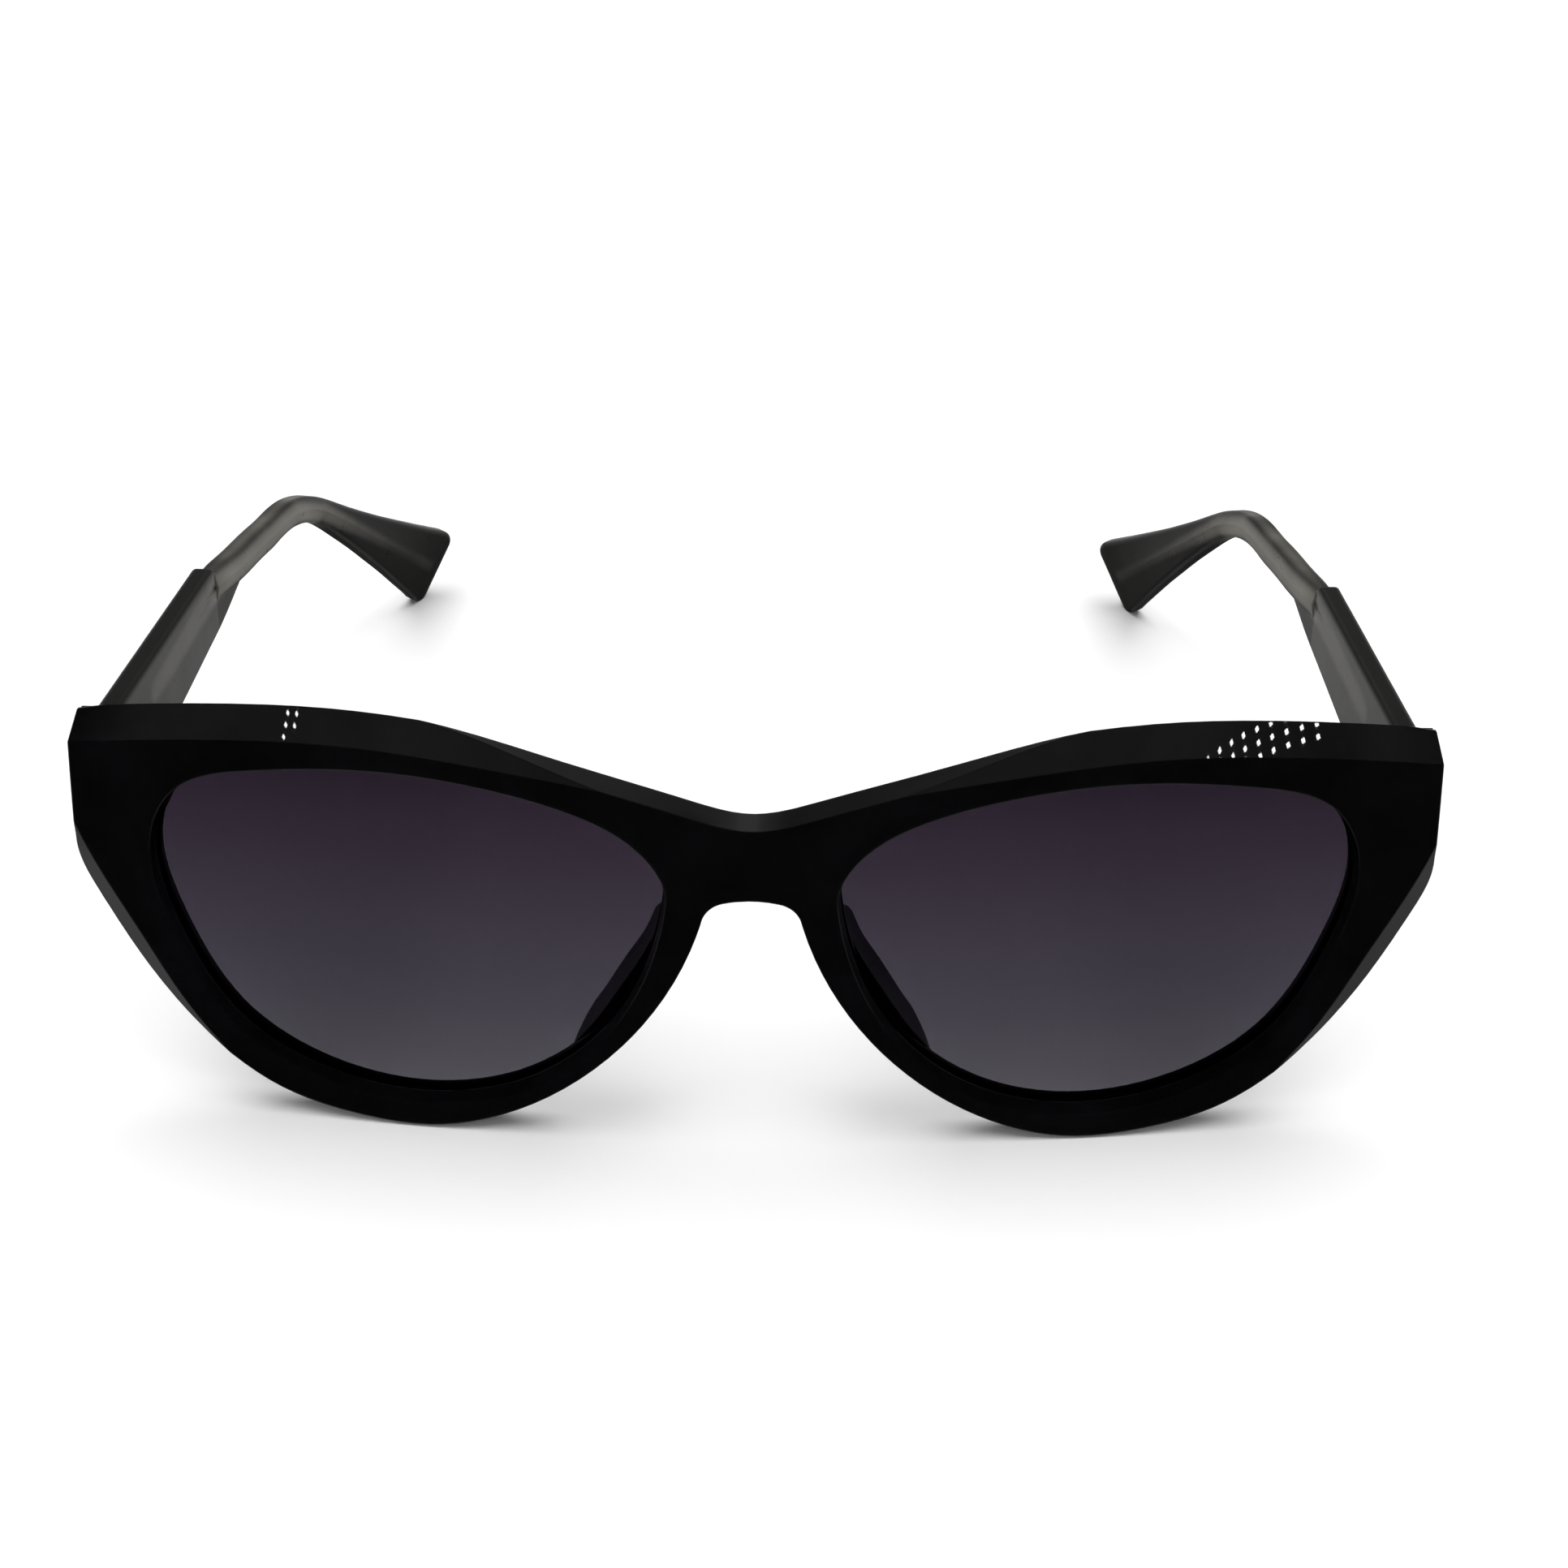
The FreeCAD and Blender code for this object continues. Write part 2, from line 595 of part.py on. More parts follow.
def screw(name, kind, base, axis):
    """A slotted screw: turned from a profile, its head on base and its shank along axis."""
    head_radius = size(kind + "_head")
    head_height = size(kind + "_height")
    body = doc.addObject("PartDesign::Body", name)
    shank_radius = size(kind + "_radius")
    shank_length = size(kind + "_length")
    profile = sketch_on(body, name + "_profile", "XZ_Plane")
    outline(profile, [(0, -head_height), (head_radius, -head_height), (head_radius, 0),
                      (shank_radius, 0), (shank_radius, shank_length), (0, shank_length)])
    profile.addConstraint(Sketcher.Constraint("PointOnObject", 0, 1, -2))
    profile.addConstraint(Sketcher.Constraint("PointOnObject", 2, 1, -1))
    dimension(profile, "DistanceX", 1, head_radius, "head_radius", "Dimensions.%s_head" % kind)
    dimension(profile, "DistanceX", 3, shank_radius, "shank_radius",
              "Dimensions.%s_radius" % kind)
    dimension(profile, "DistanceY", 5, shank_length, "shank_length",
              "Dimensions.%s_length" % kind)
    dimension(profile, "DistanceY", 0, -head_height, "head_height",
              "-Dimensions.%s_height" % kind)
    turned = body.newObject("PartDesign::Revolution", name + "_turned")
    turned.Profile = profile
    turned.ReferenceAxis = (profile, ["V_Axis"])
    turned.Angle = 360.0
    doc.recompute()
    whole = turned.Shape.Volume
    slot_sketch = sketch_on(body, name + "_slot_outline", "XY_Plane")
    slot_sketch.AttachmentOffset = FreeCAD.Placement(Vector(0, 0, -head_height),
                                                     FreeCAD.Rotation())
    reach = head_radius * 1.3
    half_slot = head_radius * 0.15
    outline(slot_sketch, [(-reach, -half_slot), (reach, -half_slot), (reach, half_slot),
                          (-reach, half_slot)])
    dimension(slot_sketch, "DistanceX", 0, -reach, "left", "-1.3 * Dimensions.%s_head" % kind)
    dimension(slot_sketch, "DistanceX", 2, reach, "right", "1.3 * Dimensions.%s_head" % kind)
    dimension(slot_sketch, "DistanceY", 0, -half_slot, "lower",
              "-0.15 * Dimensions.%s_head" % kind)
    dimension(slot_sketch, "DistanceY", 2, half_slot, "upper",
              "0.15 * Dimensions.%s_head" % kind)
    slot = body.newObject("PartDesign::Pocket", name + "_slot")
    slot.Profile = slot_sketch
    slot.Reversed = True
    slot.setExpression("Length", "0.5 * Dimensions.%s_height" % kind)
    doc.recompute()
    if slot.Shape.Volume > whole * 0.999:
        raise RuntimeError(name + ": the slot cuts nothing")
    body.Placement = FreeCAD.Placement(base, FreeCAD.Rotation(Vector(0, 0, 1), axis))
    return body


def leaf_screws(name, bases, axis):
    """The two small screws of one leaf, as one group."""
    pair = [screw("%s_%d" % (name, number), "leaf_screw", base, axis)
            for number, base in enumerate(bases, start=1)]
    return add("Part::Compound", name, Links=pair)


def rounded_plate(name, low, high, thickness_axis):
    """A plate whose four corners are rounded."""
    radius = size("leaf_corner")
    plate = box(name, low, high)
    doc.recompute()
    rounded = add("Part::Fillet", name + "_rounded", Base=plate)
    rounded.Edges = [(number, radius, radius)
                     for number, edge in enumerate(plate.Shape.Edges, start=1)
                     if edge.tangentAt(0).cross(thickness_axis).Length < 1e-6]
    return rounded


hinge_x = size("temple_face") - size("hinge_standoff")
hinge_y = size("end_piece_depth") + size("hinge_standoff")
hinge_z = size("hinge_centre_z")
leaf_depth = size("leaf_thickness")
half_hinge = 2.5 * size("knuckle_pitch") - size("knuckle_gap") / 2
clear = size("knuckle_radius") + size("hinge_clearance")
web_overlap = 0.8
back_plane = size("end_piece_depth")
inner_plane = size("temple_face")

# Screws first, because the leaves and the plastic are cut to them.
front_screws = leaf_screws("front_screws",
                           [Vector(size("front_leaf_screw_x"), back_plane + leaf_depth,
                                   hinge_z + way * size("leaf_screw_spread"))
                            for way in (-1, 1)], Vector(0, -1, 0))
temple_screws = leaf_screws("temple_screws",
                            [Vector(inner_plane - leaf_depth, size("temple_leaf_screw_y")
                                    + number * size("temple_leaf_screw_pitch"), hinge_z)
                             for number in (0, 1)], Vector(1, 0, 0))
hinge_screw = screw("pin_screw", "hinge_screw",
                    Vector(hinge_x, hinge_y, hinge_z + half_hinge), Vector(0, 0, -1))

front_plate = rounded_plate("front_plate",
                            Vector(size("front_leaf_start"), back_plane,
                                   hinge_z - half_hinge),
                            Vector(hinge_x - clear, back_plane + leaf_depth,
                                   hinge_z + half_hinge), Vector(0, 1, 0))
front_leaf_solid = leaf("front_leaf", front_plate, (0, 2, 4),
                        Vector(hinge_x - clear - web_overlap, back_plane, 0),
                        Vector(hinge_x, back_plane + leaf_depth, 0))
front_leaf = add("Part::Cut", "front_leaf", Base=front_leaf_solid, Tool=front_screws)

half_plate = size("temple_leaf_height") / 2
temple_plate = rounded_plate("temple_plate",
                             Vector(inner_plane - leaf_depth, hinge_y + clear,
                                    hinge_z - half_plate),
                             Vector(inner_plane, size("temple_leaf_end"),
                                    hinge_z + half_plate), Vector(1, 0, 0))
temple_leaf_solid = leaf("temple_leaf", temple_plate, (1, 3),
                         Vector(inner_plane - leaf_depth, hinge_y, 0),
                         Vector(inner_plane - size("butt_gap"),
                                hinge_y + clear + web_overlap, 0))
temple_leaf = add("Part::Cut", "temple_leaf", Base=temple_leaf_solid, Tool=temple_screws)

# The core wire stops short of the end of the tip.
wire_margin = 5.5
wire_stop = CORE_END + (CORE_BEND - CORE_END).normalize() * wire_margin
radii = [STEP_RADIUS, BEND_RADIUS]
wire_path = rounded_route([CORE_START, CORE_STEP, CORE_BEND, wire_stop], radii)
wire_section = Part.Wire([Part.Circle(CORE_START, wire_path[0].tangentAt(0),
                                      size("wire_radius")).toShape()])
core_wire = shape_feature("core_wire",
                          Part.Wire(wire_path).makePipeShell([wire_section], True, False))

# Each temple is one solid, cut for its wire, its leaf and the leaf's screws.
route = rounded_route([CORE_START, CORE_STEP, CORE_BEND, CORE_END], radii)
arm_part, tip_end = arm(route)
thick_part, thick_end = thick_section()
temple_parts = [shape_feature(name, shape)
                for name, shape in (("thick_section", thick_part), ("thick_end", thick_end),
                                    ("arm", arm_part), ("tip_end", tip_end),
                                    ("step_tail", step_tail()))]
temple = add("Part::MultiFuse", "temple_solid", Shapes=temple_parts, Refine=True)
for tool in (core_wire, temple_leaf, temple_screws):
    temple = add("Part::Cut", "temple_less_" + tool.Name, Base=temple, Tool=tool)

lens_piece = lens()
other_lens = other_side(lens_piece, "other_lens")
front_piece = front([lens_piece, other_lens])
other_front_screws = other_side(front_screws, "other_front_screws")
for tool in (front_screws, other_front_screws):
    front_piece = add("Part::Cut", "front_less_" + tool.Name, Base=front_piece, Tool=tool)

pieces = {"frame_front": front_piece, "left_lens": lens_piece, "right_lens": other_lens,
          "left_front_leaf_screws": front_screws,
          "right_front_leaf_screws": other_front_screws}
for name, piece in (("nose_pad", nose_pad()), ("front_leaf", front_leaf),
                    ("hinge_screw", hinge_screw), ("temple", temple),
                    ("core_wire", core_wire), ("temple_leaf", temple_leaf),
                    ("temple_leaf_screws", temple_screws)):
    pieces["left_" + name] = piece
    pieces["right_" + name] = other_side(piece, "other_" + name)

# Lean the finished pieces back together, onto the table.
lean = FreeCAD.Rotation(Vector(1, 0, 0), -size("face_lean"))
stand = FreeCAD.Placement(Vector(0, -size("depth_centre"), size("rest_height")), lean)
nodes = []
for name, piece in pieces.items():
    node = add("Part::Compound", name + "_node", Links=[piece], Placement=stand)
    node.Label = name
    nodes.append(node)
doc.recompute()

for obj in doc.Objects:
    if "Invalid" in obj.State or "Error" in obj.State:
        raise RuntimeError("%s failed: %s" % (obj.Name, obj.State))
for node in nodes:
    if node.Shape.isNull() or not node.Shape.isValid() or not node.Shape.Solids:
        raise RuntimeError("%s has no valid shape" % node.Label)
os.makedirs("parts", exist_ok=True)
for node in nodes:
    node.Shape.exportStep("parts/%s.step" % node.Label)
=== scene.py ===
"""Cat eye sunglasses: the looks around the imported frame."""

import json
import math

import bpy
from mathutils import Matrix, Vector


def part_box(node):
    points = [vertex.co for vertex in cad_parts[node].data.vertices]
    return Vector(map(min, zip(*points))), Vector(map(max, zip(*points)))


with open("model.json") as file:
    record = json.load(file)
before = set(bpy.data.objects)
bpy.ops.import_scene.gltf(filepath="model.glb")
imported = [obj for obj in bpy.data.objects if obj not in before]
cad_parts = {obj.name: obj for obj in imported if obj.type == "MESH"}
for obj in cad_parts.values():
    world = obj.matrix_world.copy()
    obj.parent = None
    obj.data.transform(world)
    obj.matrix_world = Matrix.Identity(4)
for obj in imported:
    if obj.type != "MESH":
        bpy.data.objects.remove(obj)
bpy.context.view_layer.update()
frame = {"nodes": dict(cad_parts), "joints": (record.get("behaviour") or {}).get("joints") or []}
MM = 0.001

ACETATE_IOR = 1.48
LENS_IOR = 1.5

# Radii that the finish rounds the edges to.
FRONT_EDGE = 0.28 * MM
TEMPLE_EDGE = 0.45 * MM
METAL_EDGE = 0.1 * MM

# Roughness of each polish, from its best places to its worn ones.
FRONT_ROUGHNESS = (0.004, 0.012)
PAD_ROUGHNESS = (0.16, 0.26)
TEMPLE_ROUGHNESS = (0.27, 0.31)
HAIRLINE_SHARE = 0.3

# Height of the waves that hand lapping leaves in the polish, and of the lines in the metal.
FRONT_WAVES = 0.01 * MM
TEMPLE_WAVES = 0.005 * MM
METAL_LINES = 0.03 * MM

# The core wire's stripe: how many cross-sections trace the wire, how far from its centre the
# stripe starts to fade and where it ends, and how uneven its edge is. The first and last
# cross-sections lie inside the wire's ends by WIRE_INSET of its length.
WIRE_STATIONS = 12
WIRE_INSET = 0.004
STRIPE_FULL = 1.3 * MM
STRIPE_END = 2.4 * MM
STRIPE_WOBBLE = 0.1 * MM
STRIPE_STRENGTH = 0.9
STRIPE_COLOUR = (0.25, 0.24, 0.21, 1.0)

# The stripe is faint in the thick front section, and narrows and fades in the deep tip. The
# places are distances from the wire's front end for the arm, and from its rear end for the tip.
ARM_BEGINS, ARM_FULL, THICK_SHARE = 26 * MM, 34 * MM, 0.3
NARROWING_BEGINS, NARROWING_FULL, NARROWING = 40 * MM, 12 * MM, 1.3
FADE_BEGINS, FADE_FULL, TIP_SHARE = 42 * MM, 8 * MM, 0.12

# Light through a lens, from its lowest edge to its highest, as screen colours on a white table.
# The lowest stops are lighter than the tint alone: painted light that cancels the contact shadow
# on the table seen through the lower lens.
# The gain makes up for the light that the faces reflect.
LENS_TINT_WITH_PAINTED_LIGHT = [(0.0, (104, 103, 109)), (0.15, (86, 84, 91)), (0.29, (71, 68, 77)),
             (0.43, (62, 58, 67)), (0.57, (55, 50, 60)), (0.70, (50, 44, 54)),
             (0.84, (44, 36, 47)), (1.0, (33, 26, 36))]
LENS_GAIN = 1.1


# ------------------------------------------------------------- node helpers

class Graph:
    """A small helper around one node tree."""

    def __init__(self, tree):
        self.tree = tree
        tree.nodes.clear()

    def node(self, kind, **settings):
        made = self.tree.nodes.new(kind)
        for key, value in settings.items():
            setattr(made, key, value)
        return made

    def link(self, source, target):
        self.tree.links.new(source, target)

    def value(self, socket, given):
        """Gives a socket a number, a colour or another node's output."""
        if isinstance(given, bpy.types.NodeSocket):
            self.link(given, socket)
        else:
            socket.default_value = given

    def math(self, operation, first, second=0.0, clamp=False):
        made = self.node("ShaderNodeMath", operation=operation, use_clamp=clamp)
        for socket, given in zip(made.inputs, (first, second)):
            self.value(socket, given)
        return made.outputs[0]

    def noise(self, where, scale, detail=3.0, roughness=0.5, distortion=0.0):
        made = self.node("ShaderNodeTexNoise")
        self.link(where, made.inputs["Vector"])
        made.inputs["Scale"].default_value = scale
        made.inputs["Detail"].default_value = detail
        made.inputs["Roughness"].default_value = roughness
        made.inputs["Distortion"].default_value = distortion
        return made.outputs["Fac"]

    def ramp(self, fac, stops):
        """A colour ramp through (place, (red, green, blue)) stops."""
        made = self.node("ShaderNodeValToRGB")
        points = made.color_ramp.elements
        while len(points) < len(stops):
            points.new(0.5)
        for point, (place, colour) in zip(points, stops):
            point.position = place
            point.color = (*colour, 1.0)
        self.link(fac, made.inputs["Fac"])
        return made.outputs["Color"]

    def scale_to(self, given, low, high, to_low, to_high, interpolation="LINEAR"):
        """Carries the range low to high onto to_low to to_high, and clamps beyond it."""
        made = self.node("ShaderNodeMapRange", interpolation_type=interpolation)
        for key, number in (("From Min", low), ("From Max", high), ("To Min", to_low),
                            ("To Max", to_high)):
            made.inputs[key].default_value = number
        self.link(given, made.inputs["Value"])
        return made.outputs["Result"]

    def mix_colour(self, fac, first, second, blend="MIX"):
        made = self.node("ShaderNodeMix", data_type="RGBA", blend_type=blend)
        self.value(made.inputs["Factor"], fac)
        self.value(made.inputs["A"], first)
        self.value(made.inputs["B"], second)
        return made.outputs["Result"]

    def vector(self, operation, first, second, output="Vector"):
        made = self.node("ShaderNodeVectorMath", operation=operation)
        self.value(made.inputs[0], first)
        self.value(made.inputs[1], second)
        return made.outputs[output]

    def axes(self, vector):
        """The X, Y and Z outputs of a vector."""
        made = self.node("ShaderNodeSeparateXYZ")
        self.link(vector, made.inputs[0])
        return made.outputs

    def bump(self, height, strength, distance, base):
        made = self.node("ShaderNodeBump")
        self.link(base, made.inputs["Normal"])
        made.inputs["Strength"].default_value = strength
        made.inputs["Distance"].default_value = distance
        self.link(height, made.inputs["Height"])
        return made.outputs["Normal"]


def material(name):
    """A new material: itself, its graph, its output node and the place on the surface."""
    made = bpy.data.materials.new(name)
    made.use_nodes = True
    graph = Graph(made.node_tree)
    output = graph.node("ShaderNodeOutputMaterial")
    place = graph.node("ShaderNodeTexCoord").outputs["Object"]
    return made, graph, output, place


def grey(level):
    """A grey of one linear level."""
    return (level, level, level)


def srgb(*levels):
    """Linear parts of an 8-bit screen colour."""
    parts = [level / 255 for level in levels]
    return [part / 12.92 if part <= 0.04045 else ((part + 0.055) / 1.055) ** 2.4
            for part in parts]


# ---------------------------------------------------------------- finishes

def rounded(g, radius):
    """Normal that rounds the edges of a piece, as tumbling does."""
    made = g.node("ShaderNodeBevel", samples=4)
    made.inputs["Radius"].default_value = radius
    return made.outputs["Normal"]


def acetate_clouds(g, place, dark, light):
    """Faint mottling of a pressed acetate sheet."""
    clouds = g.noise(place, 90.0, 4.0, 0.55, 0.6)
    flecks = g.noise(place, 900.0, 2.0)
    share = g.math("ADD", g.math("MULTIPLY", clouds, 0.8), g.math("MULTIPLY", flecks, 0.2))
    return g.ramp(share, [(0.35, dark), (0.7, light)])


def acetate_surface(g, place, colour, roughness, edge_radius, wave_height):
    """Polish with soft wear, polishing hairlines and the slight waves of hand lapping."""
    best, worn = roughness
    stretched = g.node("ShaderNodeMapping")
    stretched.inputs["Scale"].default_value = (140.0, 1500.0, 1500.0)
    stretched.inputs["Rotation"].default_value = (0.2, 0.35, 0.5)
    g.link(place, stretched.inputs["Vector"])
    hairlines = g.noise(stretched.outputs[0], 1.0, 2.0, 0.6)
    wear = g.noise(place, 160.0, 3.0, 0.6, 0.3)
    rough = g.math("ADD", g.scale_to(wear, 0.3, 0.75, best, worn),
                   g.scale_to(hairlines, 0.62, 0.8, 0.0, worn * HAIRLINE_SHARE))
    waves = g.noise(place, 38.0, 0.5)
    height = g.math("ADD", waves, g.math("MULTIPLY", hairlines, 0.01))
    shader = g.node("ShaderNodeBsdfPrincipled")
    g.link(colour, shader.inputs["Base Color"])
    g.link(rough, shader.inputs["Roughness"])
    normal = g.bump(height, 1.0, wave_height, rounded(g, edge_radius))
    g.link(normal, shader.inputs["Normal"])
    shader.inputs["IOR"].default_value = ACETATE_IOR
    return shader


def polished_acetate():
    """The near-black front, polished to a mirror."""
    made, g, output, place = material("front_acetate")
    colour = acetate_clouds(g, place, (0.0010, 0.0010, 0.0013), (0.0028, 0.0028, 0.0034))
    shader = acetate_surface(g, place, colour, FRONT_ROUGHNESS, FRONT_EDGE, FRONT_WAVES)
    g.link(shader.outputs[0], output.inputs["Surface"])
    return made


def buffed_acetate():
    """The nose pads: the same sheet, tumbled to a softer polish."""
    made, g, output, place = material("pad_acetate")
    colour = acetate_clouds(g, place, (0.024, 0.022, 0.024), (0.036, 0.033, 0.036))
    shader = acetate_surface(g, place, colour, PAD_ROUGHNESS, TEMPLE_EDGE, FRONT_WAVES)
    g.link(shader.outputs[0], output.inputs["Surface"])
    return made


def tube_centres(name, stations):
    """Centres of a tube's cross-sections, evenly spaced between its ends."""
    mesh = frame["nodes"][name].data
    points = [vertex.co for vertex in mesh.vertices]
    first = min(points, key=lambda point: point.y)
    last = max(points, key=lambda point: point.y)
    chord = (last - first).normalized()
    reach = (last - first).dot(chord)
    centres = []
    for step in range(stations):
        level = reach * (WIRE_INSET + (1 - 2 * WIRE_INSET) * step / (stations - 1))
        cut = []
        for edge in mesh.edges:
            a, b = (points[index] for index in edge.vertices)
            low, high = (a - first).dot(chord) - level, (b - first).dot(chord) - level
            if low * high < 0:
                cut.append(a.lerp(b, low / (low - high)))
        middle = [(min(point[axis] for point in cut) + max(point[axis] for point in cut)) / 2
                  for axis in range(3)]
        centres.append(Vector(middle))
    return centres


def distance_to_line(g, place, centres):
    """Distance from a surface point to a line through the centres."""
    nearest = None
    for start, end in zip(centres, centres[1:]):
        run = end - start
        from_start = g.vector("SUBTRACT", place, start)
        share = g.math("MULTIPLY", g.vector("DOT_PRODUCT", from_start, run, "Value"),
                       1.0 / run.length_squared, clamp=True)
        scaled = g.node("ShaderNodeVectorMath", operation="SCALE")
        scaled.inputs[0].default_value = run
        g.link(share, scaled.inputs["Scale"])
        gap = g.vector("DISTANCE", from_start, scaled.outputs[0], "Value")
        nearest = gap if nearest is None else g.math("MINIMUM", nearest, gap)
    return nearest


def satin_acetate(side):
    """A temple: dark translucent acetate through which the core wire shows as a warm stripe."""
    made, g, output, place = material(side + "_temple_acetate")
    colour = acetate_clouds(g, place, (0.0048, 0.0048, 0.0047), (0.0068, 0.0068, 0.0066))
    gap = distance_to_line(g, place, tube_centres(side + "_core_wire", WIRE_STATIONS))
    wobble = g.scale_to(g.noise(place, 300.0, 2.0), 0.0, 1.0, -STRIPE_WOBBLE, STRIPE_WOBBLE)
    uneven = g.math("ADD", gap, wobble)
    along = g.axes(place)["Y"]
    low, high = (Vector(corner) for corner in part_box(side + "_core_wire"))
    narrowing = g.scale_to(along, high.y - NARROWING_BEGINS, high.y - NARROWING_FULL,
                           1.0, NARROWING)
    wire = g.scale_to(g.math("MULTIPLY", uneven, narrowing), STRIPE_FULL, STRIPE_END,
                      STRIPE_STRENGTH, 0.0, "SMOOTHSTEP")
    in_arm = g.scale_to(along, low.y + ARM_BEGINS, low.y + ARM_FULL, THICK_SHARE, 1.0)
    in_tip = g.scale_to(along, high.y - FADE_BEGINS, high.y - FADE_FULL, 1.0, TIP_SHARE)
    stripe = g.math("MULTIPLY", wire, g.math("MULTIPLY", in_arm, in_tip))
    colour = g.mix_colour(stripe, colour, STRIPE_COLOUR)
    shader = acetate_surface(g, place, colour, TEMPLE_ROUGHNESS, TEMPLE_EDGE, TEMPLE_WAVES)
    g.link(shader.outputs[0], output.inputs["Surface"])
    return made


def tinted_lens():
    """Gradient tint: darker and warmer at the top, lighter grey at the bottom, where the ramp is
    lightened further as painted light against the contact shadow seen through the lens.

    Light crosses both faces, so each holds the square root of the tint.
    """
    made, g, output, place = material("lens_tint_and_painted_light")
    low, high = (Vector(corner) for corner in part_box("left_lens"))
    height = g.scale_to(g.axes(place)["Z"], low.z, high.z, 0.0, 1.0)
    soft = g.math("ADD", height, g.scale_to(g.noise(place, 30.0, 2.0), 0.0, 1.0, -0.012, 0.012))
    # Tint stops; the lower ones are lightened as painted light against the contact shadow seen
    # through the lens.
    stops = [(share, [math.sqrt(part * LENS_GAIN) for part in srgb(*levels)])
             for share, levels in LENS_TINT_WITH_PAINTED_LIGHT]
    clear = g.node("ShaderNodeBsdfTransparent")
    g.link(g.ramp(soft, stops), clear.inputs["Color"])
    gloss = g.node("ShaderNodeBsdfPrincipled")
    gloss.inputs["Base Color"].default_value = (0.004, 0.004, 0.005, 1.0)
    smears = g.noise(place, 240.0, 3.0, 0.6)
    g.link(g.scale_to(smears, 0.3, 0.8, 0.01, 0.05), gloss.inputs["Roughness"])
    gloss.inputs["IOR"].default_value = LENS_IOR
    # Light isn't bent inside the lens, so its far face is weighed as if met from outside too.
    leaving = g.node("ShaderNodeNewGeometry").outputs["Backfacing"]
    reflected = g.node("ShaderNodeFresnel")
    g.link(g.scale_to(leaving, 0.0, 1.0, LENS_IOR, 1.0 / LENS_IOR), reflected.inputs["IOR"])
    mix = g.node("ShaderNodeMixShader")
    g.link(reflected.outputs[0], mix.inputs["Fac"])
    g.link(clear.outputs[0], mix.inputs[1])
    g.link(gloss.outputs[0], mix.inputs[2])
    g.link(mix.outputs[0], output.inputs["Surface"])
    return made


def brushed_metal(name, dark, light, fineness):
    """Rolled or turned metal. Its fine lines run along the axes of least fineness."""
    made, g, output, place = material(name)
    lines = g.node("ShaderNodeMapping")
    lines.inputs["Scale"].default_value = fineness
    g.link(place, lines.inputs["Vector"])
    grain = g.noise(lines.outputs[0], 1.0, 3.0, 0.65)
    stain = g.noise(place, 700.0, 2.0)
    colour = g.ramp(g.math("ADD", g.math("MULTIPLY", grain, 0.6), g.math("MULTIPLY", stain, 0.4)),
                    [(0.3, dark), (0.7, light)])
    shader = g.node("ShaderNodeBsdfPrincipled")
    g.link(colour, shader.inputs["Base Color"])
    g.link(g.scale_to(grain, 0.3, 0.7, 0.22, 0.42), shader.inputs["Roughness"])
    g.link(g.bump(grain, 0.25, METAL_LINES, rounded(g, METAL_EDGE)), shader.inputs["Normal"])
    shader.inputs["Metallic"].default_value = 1.0
    g.link(shader.outputs[0], output.inputs["Surface"])
    return made


front_acetate = polished_acetate()
pad_acetate = buffed_acetate()
lens_tint_and_painted_light = tinted_lens()
hinge_metal = brushed_metal("hinge_metal", (0.36, 0.35, 0.33), (0.62, 0.60, 0.57),
                            (900.0, 900.0, 5200.0))
screw_metal = brushed_metal("screw_metal", (0.42, 0.41, 0.40), (0.70, 0.69, 0.67),
                            (4200.0, 4200.0, 900.0))
wire_metal = brushed_metal("wire_metal", (0.40, 0.37, 0.32), (0.66, 0.62, 0.55),
                           (5000.0, 300.0, 5000.0))

FINISH = {"frame_front": front_acetate, "left_temple": satin_acetate("left"),
          "right_temple": satin_acetate("right")}
for side in ("left", "right"):
    for kind, finish in (("lens", lens_tint_and_painted_light), ("nose_pad", pad_acetate),
                         ("core_wire", wire_metal), ("front_leaf", hinge_metal),
                         ("temple_leaf", hinge_metal), ("hinge_screw", screw_metal),
                         ("front_leaf_screws", screw_metal), ("temple_leaf_screws", screw_metal)):
        FINISH["%s_%s" % (side, kind)] = finish
for name, obj in frame["nodes"].items():
    for slot in obj.material_slots:
        slot.material = FINISH[name]


# ------------------------------------------------------------------- stage

FLOOR_SIZE = 8.0


def floor_paint():
    """Matt off-white with faint clouds."""
    made, g, output, place = material("floor_paint")
    shader = g.node("ShaderNodeBsdfPrincipled")
    g.link(g.ramp(g.noise(place, 6.0, 3.0), [(0.3, grey(0.90)), (0.7, grey(0.93))]),
           shader.inputs["Base Color"])
    shader.inputs["Roughness"].default_value = 0.9
    shader.inputs["Specular IOR Level"].default_value = 0.0
    g.link(shader.outputs[0], output.inputs["Surface"])
    return made


def lay_floor():
    """A square table top at height zero, which the polish doesn't reflect."""
    mesh = bpy.data.meshes.new("floor")
    half = FLOOR_SIZE / 2
    mesh.from_pydata([(-half, -half, 0), (half, -half, 0), (half, half, 0), (-half, half, 0)], [],
                     [(0, 1, 2, 3)])
    mesh.materials.append(floor_paint())
    floor = bpy.data.objects.new("floor", mesh)
    bpy.context.scene.collection.objects.link(floor)
    floor.visible_glossy = False


def area_light(name, place, aim, size, power, glossy):
    """A rectangular lamp; glossy says whether the polish shows it."""
    data = bpy.data.lights.new(name, "AREA")
    data.shape = "RECTANGLE"
    data.size, data.size_y = size
    data.energy = power
    obj = bpy.data.objects.new(name, data)
    bpy.context.scene.collection.objects.link(obj)
    obj.location = place
    obj.rotation_euler = (Vector(aim) - Vector(place)).to_track_quat("-Z", "Y").to_euler()
    obj.visible_glossy = glossy


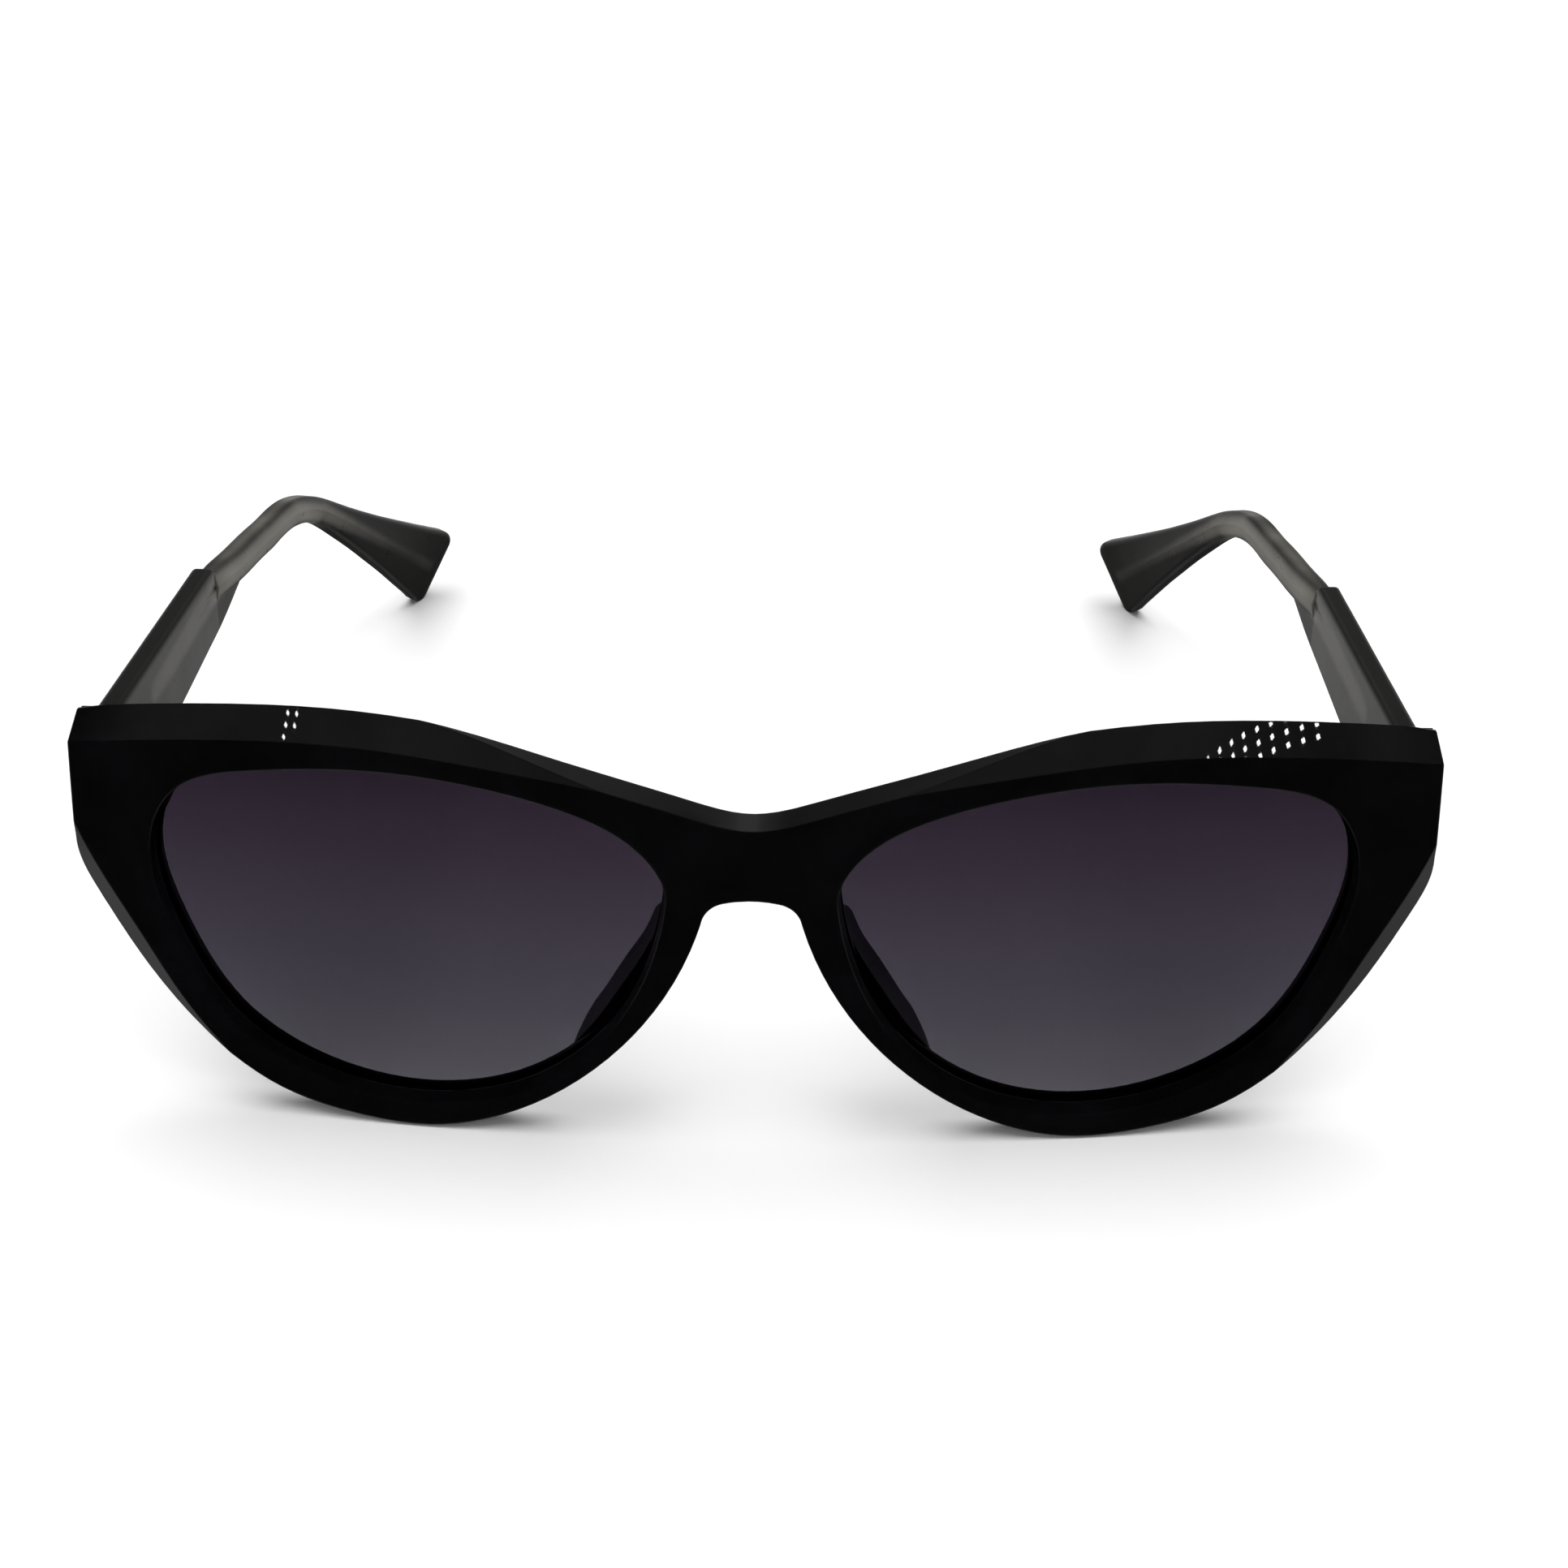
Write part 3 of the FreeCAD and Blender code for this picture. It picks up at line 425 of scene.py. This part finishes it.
def studio_world():
    """What the polish reflects, by direction.

    The room is dark in front, brightest low down behind the glasses, and dim overhead.
    """
    world = bpy.data.worlds.new("studio")
    bpy.context.scene.world = world
    world.use_nodes = True
    g = Graph(world.node_tree)
    output = g.node("ShaderNodeOutputWorld")
    direction = g.node("ShaderNodeTexCoord").outputs["Generated"]
    across, along, above = g.axes(direction)
    aside = g.math("ABSOLUTE", across)
    # Dark in front, other than high up.
    in_front = g.scale_to(along, -0.25, -0.6, 0.0, 1.0)
    not_high = g.scale_to(above, 0.75, 0.5, 0.0, 1.0)
    room = g.math("SUBTRACT", 1.0, g.math("MULTIPLY", in_front, not_high))
    # Below the horizon: bright behind the middle and to the sides, dim between them.
    low_panels = g.ramp(aside, [(0.0, grey(1.0)), (0.47, grey(1.0)), (0.60, grey(0.35)),
                                (0.72, grey(0.28)), (0.86, grey(0.9)), (1.0, grey(0.9))])
    low_level = g.ramp(g.scale_to(above, -0.7, 0.0, 0.0, 1.0),
                       [(0.0, grey(0.02)), (0.12, grey(0.05)), (0.30, grey(0.43)),
                        (0.85, grey(0.46)), (1.0, grey(0.32))])
    # Above the horizon: a soft glow behind the middle, near black higher up, dim overhead.
    high_level = g.ramp(aside, [(0.0, grey(0.20)), (0.13, grey(0.185)), (0.24, grey(0.08)),
                                (1.0, grey(0.09))])
    high_level = g.mix_colour(g.scale_to(above, 0.42, 0.50, 0.0, 1.0), high_level,
                              (*grey(0.01), 1.0))
    high_level = g.mix_colour(g.scale_to(above, 0.76, 0.81, 0.0, 1.0), high_level,
                              (*grey(0.13), 1.0))
    over_horizon = g.scale_to(above, -0.06, 0.12, 0.0, 1.0)
    behind = g.mix_colour(over_horizon, g.mix_colour(1.0, low_level, low_panels, "MULTIPLY"),
                          high_level)
    # Steeply downward, a bright table top, and low in front a trace of haze.
    outside = g.scale_to(along, 0.45, 0.3, 0.0, 1.0)
    beneath = g.math("MULTIPLY", g.scale_to(above, -0.45, -0.62, 0.0, 0.44), outside)
    level = g.math("MAXIMUM", behind, beneath)
    low_in_front = g.math("MULTIPLY", in_front, g.scale_to(above, 0.1, -0.25, 0.0, 1.0))
    haze = g.math("MULTIPLY", low_in_front, 0.014)
    # Nothing in a real room is one even level.
    uneven = g.scale_to(g.noise(direction, 3.6, 2.0), 0.35, 0.65, 0.7, 1.3)
    backdrop = g.node("ShaderNodeBackground")
    backdrop.inputs["Color"].default_value = (1.0, 0.995, 0.98, 1.0)
    g.link(g.math("ADD", g.math("MULTIPLY", g.math("MULTIPLY", room, level), uneven), haze),
           backdrop.inputs["Strength"])
    g.link(backdrop.outputs[0], output.inputs["Surface"])


# The ceiling lamps face the brow.
LAMP_AIM = (0.0, -60 * MM, 40 * MM)


def lamp_grid(name, centre, rows, columns, pitch, lean, cell, radiance):
    """A ceiling lamp of small bright cells, made for its reflection in the polish.

    pitch is the step between cells, and lean shifts each column along from the last.
    """
    power = radiance * math.pi * cell[0] * cell[1]
    for row in range(rows):
        for column in range(columns):
            across = column - (columns - 1) / 2
            place = (centre[0] + across * pitch[0],
                     centre[1] + (row - (rows - 1) / 2) * pitch[1] + across * lean, centre[2])
            area_light("%s_%d_%d" % (name, row, column), place, LAMP_AIM, cell, power, True)


lay_floor()
area_light("overhead", (0.0, 0.1, 1.6), aim=(0, 0, 0), size=(2.4, 2.4), power=50.0,
           glossy=False)
area_light("front_fill", (0.0, -1.5, 1.0), aim=(0, 0, 0), size=(2.0, 1.0), power=8.0,
           glossy=False)
lamp_grid("right_lamp", (0.494, 0.232, 1.15), rows=3, columns=9, pitch=(0.033, 0.0105),
          lean=0.0125, cell=(0.0034, 0.0065), radiance=40.0)
lamp_grid("left_lamp", (-0.45, 0.222, 1.15), rows=3, columns=2, pitch=(0.024, 0.0095),
          lean=0.004, cell=(0.0026, 0.0060), radiance=36.0)
studio_world()
bpy.context.scene.view_settings.view_transform = "Standard"

# ------------------------------------------------------------------ camera

# The camera is placed relative to the front, which leans in the row. The left hinge is at HINGE
# in the front's own frame, and that ties the two together. The camera looks at AIM from DISTANCE
# away. AIM and the camera's angles belong to a frame turned by VIEW_LEAN from the front's.
HINGE = Vector((67.35, 13.65, 40.3)) * MM
VIEW_LEAN = math.radians(3.0)
ELEVATION = math.radians(29.7155)
YAW = -0.010142             # radians
ROLL = 0.011758             # radians
DISTANCE = 0.228757
AIM = Vector((0.0033259, 0.0, 0.0459949))
FOCAL = 2757.41             # in pixels of the frame
FRAME_WIDTH = 1932
SENSOR = 36.0               # millimetres

hinge = next(joint for joint in frame["joints"] if joint["name"] == "left_temple_fold")
axis = Vector(hinge["axis"])
lean = Matrix.Rotation(-math.atan2(axis.y, axis.z), 3, "X")
to_row = Matrix.Translation(Vector(hinge["pos_m"]) - lean @ HINGE) @ lean.to_4x4()
to_front = Matrix.Rotation(VIEW_LEAN, 3, "X")

forward = Vector((math.sin(YAW) * math.cos(ELEVATION), math.cos(YAW) * math.cos(ELEVATION),
                  -math.sin(ELEVATION)))
right = Vector((math.cos(YAW), -math.sin(YAW), 0.0))
up = right.cross(forward)
right, up = (right * math.cos(ROLL) + up * math.sin(ROLL),
             up * math.cos(ROLL) - right * math.sin(ROLL))
centre = AIM - forward * DISTANCE
view = bpy.data.cameras.new("camera")
view.sensor_width = SENSOR
view.lens = FOCAL / FRAME_WIDTH * SENSOR
view.clip_start = 0.01
view.clip_end = 50.0
camera = bpy.data.objects.new("camera", view)
bpy.context.scene.collection.objects.link(camera)
turn = Matrix((right, up, -forward)).transposed()
camera.matrix_world = (to_row @ Matrix.Translation(to_front @ centre)
                       @ (to_front @ turn).to_4x4())
bpy.context.scene.camera = camera
